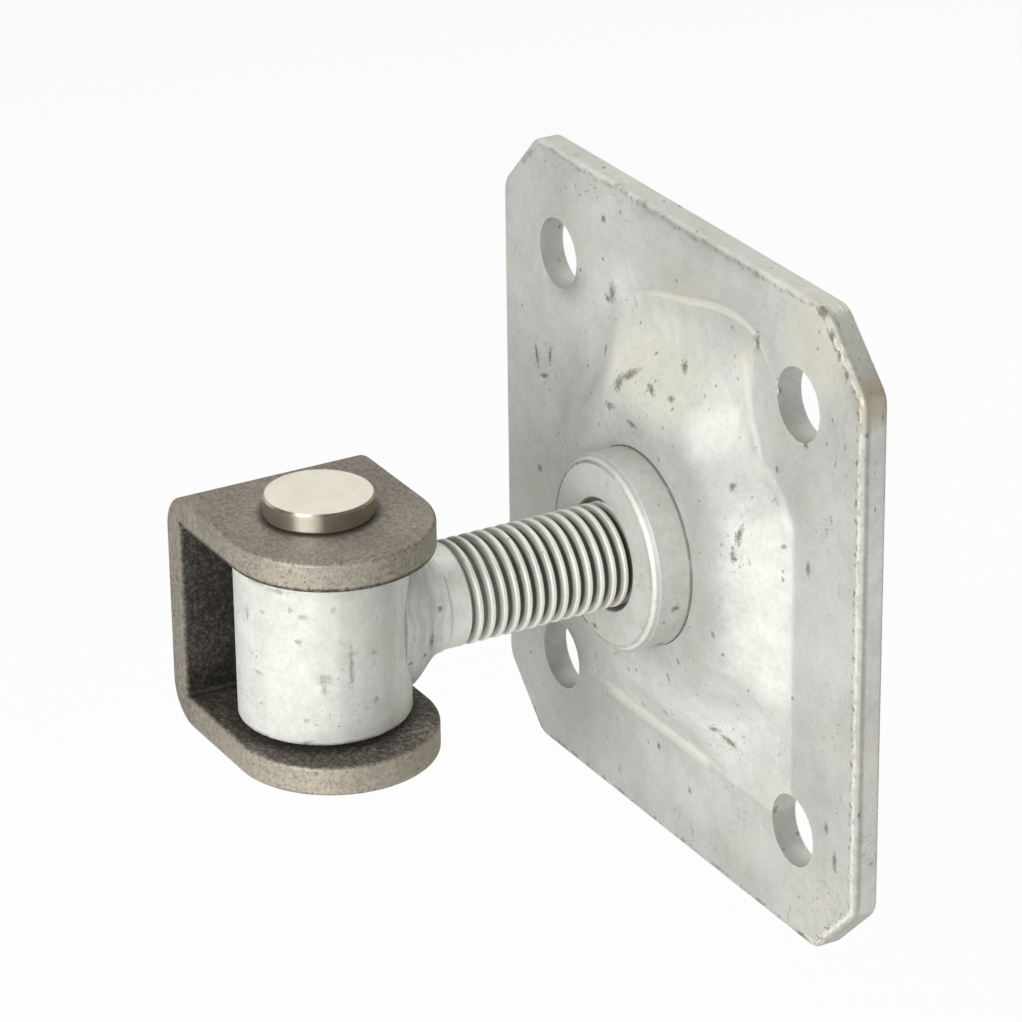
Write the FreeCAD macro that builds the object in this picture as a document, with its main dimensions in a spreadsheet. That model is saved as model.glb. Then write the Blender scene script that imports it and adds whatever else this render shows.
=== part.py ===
import FreeCAD, Part
import math
import os
import Sketcher

# Adjustable gate hinge. A square plate is bolted to the post, an eye is screwed into the
# plate's middle, and a bracket that is welded to the gate turns on a pin through the eye.
#
# The origin is the middle of the plate's mounting face. +Y goes into the post, +Z is up
# along the pin, and the eye stands out along -Y. All sizes are in millimetres. At rest the
# bracket's web is on the -X side of the eye and its arms point along +X.

SIZES = {
    # pressed plate
    "plate_width": 100.0,
    "plate_height": 100.0,
    "plate_thickness": 4.0,
    "corner_cut": 10.0,
    "corner_round": 4.0,
    "plate_edge_round": 0.6,
    "bolt_spacing": 67.0,
    "bolt_hole_diameter": 11.0,
    # raised middle of the plate: a square whose corners are hollowed round the bolt heads
    "crown_land": 4.4,
    "crown_side_land": 1.1,
    "dome_height": 5.8,
    "dome_root": 0.6,
    "dome_foot_angle": 12.0,
    "dome_slope_angle": 31.0,
    "dome_bend_radius": 6.0,
    "dome_corner_round": 4.0,
    "dome_corner_growth": 0.33,
    # threaded collar and the weld behind it
    "collar_diameter": 30.0,
    "collar_reach": 12.0,
    "collar_bevel": 1.0,
    "collar_sink": 0.8,
    "collar_back_gap": 1.0,
    "collar_seat_clearance": 0.1,
    "collar_weld_leg": 3.5,
    # threaded rod
    "rod_diameter": 15.7,
    "thread_clearance": 0.05,
    "rod_end_recess": 1.0,
    "rod_end_bevel": 1.5,
    # eye
    "pin_distance": 62.0,
    "barrel_diameter": 25.0,
    "barrel_length": 26.0,
    "barrel_edge_round": 0.5,
    "barrel_bore_bevel": 0.5,
    "weld_end_gap": 1.5,
    "weld_leg_along": 4.0,
    "weld_leg_aside": 1.05,
    "weld_toe": 0.15,
    # bracket
    "bracket_width": 30.0,
    "bracket_thickness": 4.5,
    "web_distance": 19.0,
    "arm_end_offset": 3.0,
    "bend_inner_radius": 0.5,
    "bend_outer_radius": 6.0,
    "bracket_edge_round": 0.6,
    "upper_arm_clearance": 0.2,
    "lower_arm_clearance": 0.8,
    "arm_hole_clearance": 0.1,
    # pin and its retaining ring
    "pin_diameter": 12.0,
    "pin_clearance": 0.08,
    "head_overhang": 2.0,
    "head_thickness": 3.0,
    "head_bevel": 0.3,
    "pin_tail": 1.8,
    "pin_end_bevel": 0.8,
    "groove_depth": 0.3,
    "ring_thickness": 1.0,
    "ring_play": 0.1,
    "ring_seat_clearance": 0.05,
    "ring_width": 2.2,
    "ring_taper": 0.4,
    "ring_opening": 3.0,
    "ring_lug_diameter": 3.4,
    "ring_lug_hole": 1.7,
}

doc = FreeCAD.newDocument("GateHinge")
sheet = doc.addObject("Spreadsheet::Sheet", "Sizes")
for row, (alias, number) in enumerate(SIZES.items(), start=1):
    sheet.set("A%d" % row, alias)
    sheet.set("B%d" % row, str(number))
    sheet.setAlias("B%d" % row, alias)
doc.recompute()


class Size:
    """A length that knows both its number and the formula that ties it to the sheet."""

    def __init__(self, value, text):
        self.value = float(value)
        self.text = text

    def join(self, sign, other, value):
        text = other.text if isinstance(other, Size) else repr(float(other))
        return Size(value, "(%s %s %s)" % (self.text, sign, text))

    def __add__(self, other):
        return self.join("+", other, self.value + number_of(other))

    def __sub__(self, other):
        return self.join("-", other, self.value - number_of(other))

    def __mul__(self, other):
        return self.join("*", other, self.value * number_of(other))

    def __truediv__(self, other):
        return self.join("/", other, self.value / number_of(other))

    def __neg__(self):
        return self * -1


def number_of(item):
    return item.value if isinstance(item, Size) else float(item)


def size(alias):
    return Size(getattr(sheet, alias), "Sizes." + alias)


ZERO = size("plate_width") * 0

# places that several pieces share
plate_front = -size("plate_thickness")
dome_crown = plate_front - size("dome_height")
dome_underside = dome_crown + size("plate_thickness")
collar_radius = size("collar_diameter") / 2
collar_front = plate_front - size("collar_reach")
collar_back = -size("collar_back_gap")
rod_radius = size("rod_diameter") / 2
barrel_radius = size("barrel_diameter") / 2
barrel_top = size("barrel_length") / 2
pin_radius = size("pin_diameter") / 2
head_radius = pin_radius + size("head_overhang")
groove_radius = pin_radius - size("groove_depth")
upper_arm_underside = barrel_top + size("upper_arm_clearance")
lower_arm_top = -barrel_top - size("lower_arm_clearance")
bracket_top = upper_arm_underside + size("bracket_thickness")
bracket_bottom = lower_arm_top - size("bracket_thickness")
web_inside = size("bracket_thickness") - size("web_distance")
groove_top = bracket_bottom - size("ring_play")
groove_bottom = groove_top - size("ring_thickness") - size("ring_play")


def bind(item, prop, length):
    item.setExpression(prop, length.text)


def new_body(name, on_pin_axis=False):
    body = doc.addObject("PartDesign::Body", name)
    body.Label = name
    if on_pin_axis:
        bind(body, "Placement.Base.y", -size("pin_distance"))
    return body


def new_sketch(body, name, role):
    sketch = body.newObject("Sketcher::SketchObject", name)
    plane = [item for item in body.Origin.OriginFeatures if item.Role == role][0]
    sketch.AttachmentSupport = [(plane, "")]
    sketch.MapMode = "FlatFace"
    return sketch


def fix(sketch, geometry, point, across, up):
    """Holds a point of the sketch at its distances from the sketch's origin."""
    for kind, length in (("DistanceX", across), ("DistanceY", up)):
        index = sketch.addConstraint(
            Sketcher.Constraint(kind, -1, 1, geometry, point, length.value))
        sketch.setExpression("Constraints[%d]" % index, length.text)


def polygon(sketch, corners):
    """Closed straight-sided outline through corners given as pairs of sizes."""
    count = len(corners)
    for index, (across, up) in enumerate(corners):
        next_across, next_up = corners[(index + 1) % count]
        start = FreeCAD.Vector(across.value, up.value, 0)
        end = FreeCAD.Vector(next_across.value, next_up.value, 0)
        sketch.addGeometry(Part.LineSegment(start, end), False)
    for index in range(count):
        sketch.addConstraint(
            Sketcher.Constraint("Coincident", index, 2, (index + 1) % count, 1))
    for index, (across, up) in enumerate(corners):
        fix(sketch, index, 1, across, up)


def circle(sketch, across, up, radius):
    centre = FreeCAD.Vector(across.value, up.value, 0)
    normal = FreeCAD.Vector(0, 0, 1)
    index = sketch.addGeometry(Part.Circle(centre, normal, radius.value), False)
    fix(sketch, index, 3, across, up)
    held = sketch.addConstraint(Sketcher.Constraint("Radius", index, radius.value))
    sketch.setExpression("Constraints[%d]" % held, radius.text)


def pad(body, name, sketch, length):
    feature = body.newObject("PartDesign::Pad", name)
    feature.Profile = sketch
    bind(feature, "Length", length)
    return feature


def cut_through(body, name, sketch):
    feature = body.newObject("PartDesign::Pocket", name)
    feature.Profile = sketch
    feature.Type = "ThroughAll"
    feature.Midplane = True
    return feature


def turn(body, name, sketch, axis):
    feature = body.newObject("PartDesign::Revolution", name)
    feature.Profile = sketch
    feature.ReferenceAxis = (sketch, [axis])
    feature.Angle = 360
    return feature


def soften(body, kind, name, base, edges, prop, amount):
    """Rounds or bevels the edges that the test picks out of the body so far."""
    doc.recompute()
    found = ["Edge%d" % (i + 1) for i, edge in enumerate(base.Shape.Edges) if edges(edge)]
    feature = body.newObject("PartDesign::" + kind, name)
    feature.Base = (base, found)
    bind(feature, prop, amount)
    return feature


def near(first, second):
    return abs(first - second) < 1e-4


def runs_along(edge, direction):
    """True for a straight edge along the X, Y or Z direction."""
    if edge.Curve.TypeId != "Part::GeomLine":
        return False
    return near(abs(edge.Curve.Direction.dot(direction)), 1)


# Mounting plate: a blank with cut corners, pressed up in the middle and drilled.

def plate_blank():
    body = doc.addObject("PartDesign::Body", "plate_blank")
    half_width = size("plate_width") / 2
    half_height = size("plate_height") / 2
    outline = new_sketch(body, "blank_outline", "XZ_Plane")
    polygon(outline, [(-half_width, -half_height), (half_width, -half_height),
                      (half_width, half_height), (-half_width, half_height)])
    slab = pad(body, "blank_slab", outline, size("plate_thickness"))
    through = FreeCAD.Vector(0, 1, 0)
    cut = soften(body, "Chamfer", "blank_corners", slab,
                 lambda edge: runs_along(edge, through), "Size", size("corner_cut"))
    rounded = soften(body, "Fillet", "blank_corner_rounds", cut,
                     lambda edge: runs_along(edge, through), "Radius", size("corner_round"))
    soften(body, "Fillet", "blank_edge_rounds", rounded,
           lambda edge: near(edge.BoundBox.YLength, 0), "Radius", size("plate_edge_round"))
    bolts = new_sketch(body, "bolt_circles", "XZ_Plane")
    half_pitch = size("bolt_spacing") / 2
    for across in (-1, 1):
        for up in (-1, 1):
            circle(bolts, half_pitch * across, half_pitch * up, size("bolt_hole_diameter") / 2)
    body.Tip = cut_through(body, "bolt_holes", bolts)
    return body


def quarter_turn(point, times):
    across, up = point
    for _ in range(times):
        across, up = -up, across
    return across, up


def dome_outline(half, relief, corner, depth):
    """Square outline whose corners are hollowed round the four bolt holes.

    Each hollow is an arc about a hole's centre, and a small convex arc joins it to the
    straight side on either hand.
    """
    hole = sheet.bolt_spacing / 2
    reach = relief + corner
    round_across = half - corner
    round_up = hole - math.sqrt(reach ** 2 - (hole - round_across) ** 2)
    touch = (hole + (round_across - hole) * relief / reach,
             hole + (round_up - hole) * relief / reach)
    middle = math.atan2(touch[1] - round_up, touch[0] - round_across) / 2
    bulge = (round_across + corner * math.cos(middle), round_up + corner * math.sin(middle))
    hollow = hole - relief / math.sqrt(2)
    arcs = [((half, round_up), bulge, touch),
            (touch, (hollow, hollow), touch[::-1]),
            (touch[::-1], bulge[::-1], (round_up, half))]

    def place(point, times):
        across, up = quarter_turn(point, times)
        return FreeCAD.Vector(across, depth, up)

    edges = []
    for times in range(4):
        side = Part.LineSegment(place((half, -round_up), times), place((half, round_up), times))
        edges.append(side.toShape())
        for arc in arcs:
            edges.append(Part.Arc(*[place(point, times) for point in arc]).toShape())
    return Part.Wire(edges)


def dome_slope():
    """Points of the slope from below its foot to its crown, as pairs of inset and rise.

    The slope leaves the plate at a small angle, bends up, runs straight and bends level.
    """
    foot = math.radians(sheet.dome_foot_angle)
    steep = math.radians(sheet.dome_slope_angle)
    bend = sheet.dome_bend_radius
    points = [(-sheet.dome_root / math.tan(foot), -sheet.dome_root), (0, 0)]
    for share in (0.5, 1):
        angle = foot + (steep - foot) * share
        points.append((bend * (math.sin(angle) - math.sin(foot)),
                       bend * (math.cos(foot) - math.cos(angle))))
    inset, rise = points[-1]
    straight = sheet.dome_height - rise - bend * (1 - math.cos(steep))
    level = inset + straight / math.tan(steep) + bend * math.sin(steep)
    for share in (1, 0.5, 0):
        points.append((level - bend * math.sin(steep * share),
                       sheet.dome_height - bend * (1 - math.cos(steep * share))))
    return points


def dome_form(name, foot):
    """Solid under the raised middle, from inside the sheet out to its crown along -Y.

    The crown leaves a flat land round the collar, wider at its sides than at its corners.
    """
    slope = dome_slope()
    run = slope[-1][0]
    crown = sheet.collar_diameter / 2 + sheet.crown_land
    crown_relief = sheet.bolt_spacing / math.sqrt(2) - crown
    sections = []
    for inset, rise in slope:
        corner = sheet.dome_corner_round + sheet.dome_corner_growth * rise
        sections.append(dome_outline(crown + sheet.crown_side_land + run - inset,
                                     crown_relief - run + inset, corner, foot - rise))
    form = doc.addObject("Part::Feature", name)
    form.Shape = Part.makeLoft(sections, True, False)
    return form


def rod_along_y(name, radius, start, length):
    """Cylinder from its start on the Y axis towards -Y."""
    rod = doc.addObject("Part::Cylinder", name)
    rod.Placement.Rotation = FreeCAD.Rotation(FreeCAD.Vector(1, 0, 0), 90)
    bind(rod, "Radius", radius)
    bind(rod, "Height", length)
    bind(rod, "Placement.Base.y", start)
    return rod


def joined(kind, name, base, tool):
    feature = doc.addObject("Part::" + kind, name)
    feature.Base = base
    feature.Tool = tool
    return feature


def mounting_plate():
    raised = joined("Fuse", "plate_raised", plate_blank(),
                    dome_form("dome_front", plate_front.value))
    hollowed = joined("Cut", "plate_hollowed", raised, dome_form("dome_back", 0))
    seat = rod_along_y("collar_seat", collar_radius + size("collar_seat_clearance"),
                       size("plate_thickness"), -collar_front * 2)
    plate = joined("Cut", "mounting_plate", hollowed, seat)
    plate.Label = "mounting_plate"
    return plate


# Collar: a turned boss that carries the thread, and the weld that holds it from behind.

def threaded_collar():
    body = new_body("threaded_collar")
    profile = new_sketch(body, "collar_profile", "XY_Plane")
    bore = rod_radius + size("thread_clearance")
    bevel = size("collar_bevel")
    sink = size("collar_sink")
    polygon(profile, [(bore, collar_back), (collar_radius, collar_back),
                      (collar_radius, collar_front + bevel),
                      (collar_radius - bevel, collar_front),
                      (bore + sink, collar_front), (bore, collar_front + sink)])
    body.Tip = turn(body, "collar_turned", profile, "V_Axis")
    return body


def collar_weld():
    body = new_body("collar_weld")
    profile = new_sketch(body, "collar_weld_profile", "XY_Plane")
    leg = size("collar_weld_leg")
    polygon(profile, [(collar_radius, dome_underside), (collar_radius + leg, dome_underside),
                      (collar_radius, dome_underside + leg)])
    body.Tip = turn(body, "collar_weld_bead", profile, "V_Axis")
    return body


# Eye: rod, barrel and the fillet weld between them.

def threaded_rod():
    body = new_body("threaded_rod", on_pin_axis=True)
    profile = new_sketch(body, "rod_profile", "XY_Plane")
    end = size("pin_distance") - size("rod_end_recess")
    bevel = size("rod_end_bevel")
    polygon(profile, [(ZERO, ZERO), (rod_radius, ZERO), (rod_radius, end - bevel),
                      (rod_radius - bevel, end), (ZERO, end)])
    turn(body, "rod_turned", profile, "V_Axis")
    saddle = new_sketch(body, "rod_saddle_circle", "XY_Plane")
    circle(saddle, ZERO, ZERO, barrel_radius)
    body.Tip = cut_through(body, "rod_saddle", saddle)
    return body


def eye_barrel():
    body = new_body("eye_barrel", on_pin_axis=True)
    profile = new_sketch(body, "barrel_profile", "XZ_Plane")
    bore = pin_radius + size("pin_clearance")
    polygon(profile, [(bore, -barrel_top), (barrel_radius, -barrel_top),
                      (barrel_radius, barrel_top), (bore, barrel_top)])
    tube = turn(body, "barrel_turned", profile, "V_Axis")

    def rim(edge, radius):
        round_edge = edge.Curve.TypeId == "Part::GeomCircle"
        return round_edge and near(edge.Curve.Radius, radius.value)

    rounded = soften(body, "Fillet", "barrel_rims", tube,
                     lambda edge: rim(edge, barrel_radius), "Radius",
                     size("barrel_edge_round"))
    body.Tip = soften(body, "Chamfer", "barrel_mouths", rounded,
                      lambda edge: rim(edge, bore), "Size", size("barrel_bore_bevel"))
    return body


def weld_section(name, distance, up, aside):
    """Upright ellipse round the rod, at a distance from the pin towards the plate."""
    ring = doc.addObject("Part::Ellipse", name)
    ring.Placement.Rotation = FreeCAD.Rotation(FreeCAD.Vector(1, 1, 1), -120)
    bind(ring, "MajorRadius", rod_radius + up)
    bind(ring, "MinorRadius", rod_radius + aside)
    bind(ring, "Placement.Base.y", distance - size("pin_distance"))
    return ring


def rod_weld():
    """Hollow-faced bead that is high above and below the rod and thin at its sides."""
    along = size("weld_leg_along")
    up = barrel_top - rod_radius - size("weld_end_gap")
    aside = size("weld_leg_aside")
    toe = size("weld_toe")
    sections = [weld_section("weld_root", barrel_radius - along, up, aside * 2),
                weld_section("weld_shoulder", barrel_radius, up, aside),
                weld_section("weld_middle", barrel_radius + along * 0.4, up * 0.4, aside / 2),
                weld_section("weld_end", barrel_radius + along, toe, toe)]
    bead = doc.addObject("Part::Loft", "weld_bead")
    bead.Sections = sections
    bead.Solid = True
    bead.Ruled = False
    barrel = doc.addObject("Part::Cylinder", "weld_barrel_space")
    bind(barrel, "Radius", barrel_radius)
    bind(barrel, "Height", size("barrel_length"))
    bind(barrel, "Placement.Base.y", -size("pin_distance"))
    bind(barrel, "Placement.Base.z", -barrel_top)
    on_barrel = joined("Cut", "weld_on_barrel", bead, barrel)
    rod = rod_along_y("weld_rod_space", rod_radius, ZERO, size("pin_distance"))
    weld = joined("Cut", "rod_weld", on_barrel, rod)
    weld.Label = "rod_weld"
    return weld


# Bracket: flat bar bent to a U, with round arm ends and a hole for the pin.

def u_bracket():
    body = new_body("u_bracket", on_pin_axis=True)
    plan = new_sketch(body, "bracket_plan", "XY_Plane")
    half = size("bracket_width") / 2
    web = -size("web_distance")
    nose = size("arm_end_offset")
    centre = FreeCAD.Vector(nose.value, 0, 0)
    corners = [(nose, half), (web, half), (web, -half), (nose, -half)]
    for (across, up), (next_across, next_up) in zip(corners, corners[1:]):
        plan.addGeometry(Part.LineSegment(FreeCAD.Vector(across.value, up.value, 0),
                                          FreeCAD.Vector(next_across.value, next_up.value, 0)),
                         False)
    rim = Part.Circle(centre, FreeCAD.Vector(0, 0, 1), half.value)
    plan.addGeometry(Part.ArcOfCircle(rim, -math.pi / 2, math.pi / 2), False)
    for index in range(2):
        plan.addConstraint(Sketcher.Constraint("Coincident", index, 2, index + 1, 1))
    plan.addConstraint(Sketcher.Constraint("Coincident", 2, 2, 3, 1))
    plan.addConstraint(Sketcher.Constraint("Coincident", 3, 2, 0, 1))
    for index, (across, up) in enumerate(corners[:3]):
        fix(plan, index, 1, across, up)
    fix(plan, 3, 3, nose, ZERO)
    held = plan.addConstraint(Sketcher.Constraint("DistanceX", -1, 1, 2, 2, nose.value))
    plan.setExpression("Constraints[%d]" % held, nose.text)
    pad(body, "bracket_block", plan, bracket_top - bracket_bottom)
    bind(plan, "AttachmentOffset.Base.z", bracket_bottom)
    inside = new_sketch(body, "bracket_inside", "XZ_Plane")
    beyond = nose + size("bracket_width")
    polygon(inside, [(web_inside, lower_arm_top), (beyond, lower_arm_top),
                     (beyond, upper_arm_underside), (web_inside, upper_arm_underside)])
    cut_through(body, "bracket_opened", inside)
    pin_hole = new_sketch(body, "bracket_pin_circle", "XY_Plane")
    circle(pin_hole, ZERO, ZERO, pin_radius + size("arm_hole_clearance"))
    drilled = cut_through(body, "bracket_pin_hole", pin_hole)
    across_bar = FreeCAD.Vector(0, 1, 0)

    def inner_bend(edge):
        return runs_along(edge, across_bar) and near(edge.CenterOfMass.x, web_inside.value)

    def outer_bend(edge):
        return runs_along(edge, across_bar) and near(edge.CenterOfMass.x, web.value)

    inner = soften(body, "Fillet", "inner_bends", drilled, inner_bend, "Radius",
                   size("bend_inner_radius"))
    outer = soften(body, "Fillet", "outer_bends", inner, outer_bend, "Radius",
                   size("bend_outer_radius"))

    def outline_edge(edge):
        box = edge.BoundBox
        round_the_nose = box.XMax > nose.value + pin_radius.value * 2
        along_a_side = near(box.YMin, box.YMax) and near(abs(box.YMin), half.value)
        return (round_the_nose and near(box.ZMin, box.ZMax)) or along_a_side

    body.Tip = soften(body, "Fillet", "bracket_edges", outer, outline_edge, "Radius",
                      size("bracket_edge_round"))
    return body


# Pin with its flat head, and the spring ring in the groove under the lower arm.

def hinge_pin():
    body = new_body("hinge_pin", on_pin_axis=True)
    profile = new_sketch(body, "pin_profile", "XZ_Plane")
    head_top = bracket_top + size("head_thickness")
    bevel = size("head_bevel")
    end = groove_bottom - size("pin_tail")
    end_bevel = size("pin_end_bevel")
    polygon(profile, [(ZERO, end), (pin_radius - end_bevel, end),
                      (pin_radius, end + end_bevel), (pin_radius, groove_bottom),
                      (groove_radius, groove_bottom), (groove_radius, groove_top),
                      (pin_radius, groove_top), (pin_radius, bracket_top),
                      (head_radius - bevel, bracket_top), (head_radius, bracket_top + bevel),
                      (head_radius, head_top - bevel), (head_radius - bevel, head_top),
                      (ZERO, head_top)])
    body.Tip = turn(body, "pin_turned", profile, "V_Axis")
    return body


def ring_disc(name, radius, across, up=ZERO):
    """Disc as thick as the ring, standing in the groove's height."""
    disc = doc.addObject("Part::Cylinder", name)
    bind(disc, "Radius", radius)
    bind(disc, "Height", size("ring_thickness"))
    bind(disc, "Placement.Base.x", across)
    bind(disc, "Placement.Base.y", up - size("pin_distance"))
    bind(disc, "Placement.Base.z", groove_top - size("ring_thickness"))
    return disc


def retaining_ring():
    inner = groove_radius + size("ring_seat_clearance")
    outer = inner + size("ring_width")
    lug = size("ring_lug_diameter") / 2
    lug_side = (size("ring_opening") + size("ring_lug_diameter")) / 2
    lug_reach = inner + lug
    ring = ring_disc("ring_outer", outer, -size("ring_taper"))
    for side in (-1, 1):
        boss = ring_disc("ring_lug_%d" % (side + 2), lug, lug_reach, lug_side * side)
        ring = joined("Fuse", "ring_with_lug_%d" % (side + 2), ring, boss)
    ring = joined("Cut", "ring_open_middle", ring, ring_disc("ring_inner", inner, ZERO))
    gap = doc.addObject("Part::Box", "ring_gap")
    bind(gap, "Length", outer + size("ring_lug_diameter"))
    bind(gap, "Width", size("ring_opening"))
    bind(gap, "Height", size("ring_thickness"))
    bind(gap, "Placement.Base.y", -size("pin_distance") - size("ring_opening") / 2)
    bind(gap, "Placement.Base.z", groove_top - size("ring_thickness"))
    ring = joined("Cut", "ring_split", ring, gap)
    for side in (-1, 1):
        hole = ring_disc("ring_hole_%d" % (side + 2), size("ring_lug_hole") / 2, lug_reach,
                         lug_side * side)
        ring = joined("Cut", "ring_pierced_%d" % (side + 2), ring, hole)
    ring.Label = "retaining_ring"
    return ring


pieces = [mounting_plate(), threaded_collar(), collar_weld(), threaded_rod(), eye_barrel(),
          rod_weld(), u_bracket(), hinge_pin(), retaining_ring()]
doc.recompute()

for item in doc.Objects:
    if "Invalid" in item.State or "Error" in item.State:
        raise RuntimeError("%s could not be built: %s" % (item.Name, item.State))
for piece in pieces:
    if piece.Shape.isNull() or not piece.Shape.isValid() or len(piece.Shape.Solids) != 1:
        raise RuntimeError("%s is not one sound solid" % piece.Label)

os.makedirs("parts", exist_ok=True)
for piece in pieces:
    piece.Shape.exportStep("parts/%s.step" % piece.Label)
    print("%-16s %9.1f mm3" % (piece.Label, piece.Shape.Volume))
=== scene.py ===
import math

import bpy
from mathutils import Matrix, Vector


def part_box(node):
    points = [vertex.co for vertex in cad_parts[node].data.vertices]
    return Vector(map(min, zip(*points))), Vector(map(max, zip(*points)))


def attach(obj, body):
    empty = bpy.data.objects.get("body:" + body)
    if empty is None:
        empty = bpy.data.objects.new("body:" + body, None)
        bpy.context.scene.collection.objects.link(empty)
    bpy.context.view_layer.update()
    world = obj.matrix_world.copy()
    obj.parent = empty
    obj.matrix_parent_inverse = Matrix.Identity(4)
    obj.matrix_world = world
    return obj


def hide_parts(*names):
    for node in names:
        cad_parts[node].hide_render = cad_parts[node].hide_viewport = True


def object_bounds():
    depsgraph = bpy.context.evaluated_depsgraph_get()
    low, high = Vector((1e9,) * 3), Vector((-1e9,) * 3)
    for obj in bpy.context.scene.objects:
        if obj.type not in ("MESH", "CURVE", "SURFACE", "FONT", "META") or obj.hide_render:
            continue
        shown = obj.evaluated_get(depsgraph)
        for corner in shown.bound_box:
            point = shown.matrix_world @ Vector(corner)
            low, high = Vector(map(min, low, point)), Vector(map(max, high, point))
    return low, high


# An adjustable gate hinge: a galvanised plate with a threaded collar, an eye on a threaded
# rod, and a bare steel bracket on a bright pin. Lengths are in metres, and sizes named in
# millimetres are turned into metres by MM.

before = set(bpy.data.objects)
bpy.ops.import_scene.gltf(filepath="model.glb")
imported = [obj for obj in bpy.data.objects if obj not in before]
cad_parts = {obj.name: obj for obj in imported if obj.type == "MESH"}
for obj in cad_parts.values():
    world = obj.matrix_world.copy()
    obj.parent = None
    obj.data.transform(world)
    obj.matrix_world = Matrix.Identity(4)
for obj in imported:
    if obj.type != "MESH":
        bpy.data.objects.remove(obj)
cad_low, cad_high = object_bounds()

MM = 0.001
PIN_AXIS_Y = (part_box("hinge_pin")[0].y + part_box("hinge_pin")[1].y) / 2
ROD_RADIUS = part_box("threaded_rod")[1].x
ROD_END_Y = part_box("threaded_rod")[1].y
BARREL_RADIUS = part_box("eye_barrel")[1].x
HEAD_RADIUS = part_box("hinge_pin")[1].x

# places on the plate and the collar, in millimetres
PLATE_HALF = 50.0
PLATE_CORNER_CUT = 10.0
PLATE_FRONT_Y = -4.0
COLLAR_RADIUS = 15.0
COLLAR_FACE_Y = -16.0
COLLAR_FOOT_Y = -9.8
BORE_RADIUS = 8.0


# Node trees

class Wire:
    """A socket that can be used in sums. Each sum adds a Math node to its tree."""

    def __init__(self, tree, socket):
        self.tree = tree
        self.socket = socket

    def __add__(self, other):
        return self.tree.math("ADD", self, other)

    def __sub__(self, other):
        return self.tree.math("SUBTRACT", self, other)

    def __rsub__(self, other):
        return self.tree.math("SUBTRACT", other, self)

    def __mul__(self, other):
        return self.tree.math("MULTIPLY", self, other)

    def __truediv__(self, other):
        return self.tree.math("DIVIDE", self, other)

    def __pow__(self, other):
        return self.tree.math("POWER", self, other)

    def __abs__(self):
        return self.tree.math("ABSOLUTE", self)

    __radd__ = __add__
    __rmul__ = __mul__

    def least(self, other):
        return self.tree.math("MINIMUM", self, other)

    def most(self, other):
        return self.tree.math("MAXIMUM", self, other)

    def rise(self, low, high):
        """0 below low, 1 above high, and a smooth step between them."""
        return self.tree.node("ShaderNodeMapRange", {"interpolation_type": "SMOOTHSTEP"},
                              {"Value": self, "From Min": low, "From Max": high}, "Result")

    def fall(self, low, high):
        return 1 - self.rise(low, high)

    def band(self, middle, half, soft):
        """1 within half of the middle, and 0 past a soft edge."""
        return abs(self - middle).fall(half, half + soft)


class Tree:
    """A node tree that grows by calls."""

    def __init__(self, nodes, links):
        self.nodes = nodes
        self.links = links

    def node(self, kind, settings=None, sockets=None, output=0):
        """Adds a node: its settings first, then the values or wires of its sockets."""
        made = self.nodes.new(kind)
        for name, value in (settings or {}).items():
            setattr(made, name, value)
        for name, value in (sockets or {}).items():
            if isinstance(value, Wire):
                self.links.new(value.socket, made.inputs[name])
            else:
                made.inputs[name].default_value = value
        return Wire(self, made.outputs[output]) if made.outputs else made

    def math(self, operation, first, second=0.0, third=0.0):
        return self.node("ShaderNodeMath", {"operation": operation},
                         {0: first, 1: second, 2: third})

    def split(self, vector):
        """The three numbers of a vector."""
        parts = self.nodes.new("ShaderNodeSeparateXYZ")
        self.links.new(vector.socket, parts.inputs[0])
        return [Wire(self, socket) for socket in parts.outputs]


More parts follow.
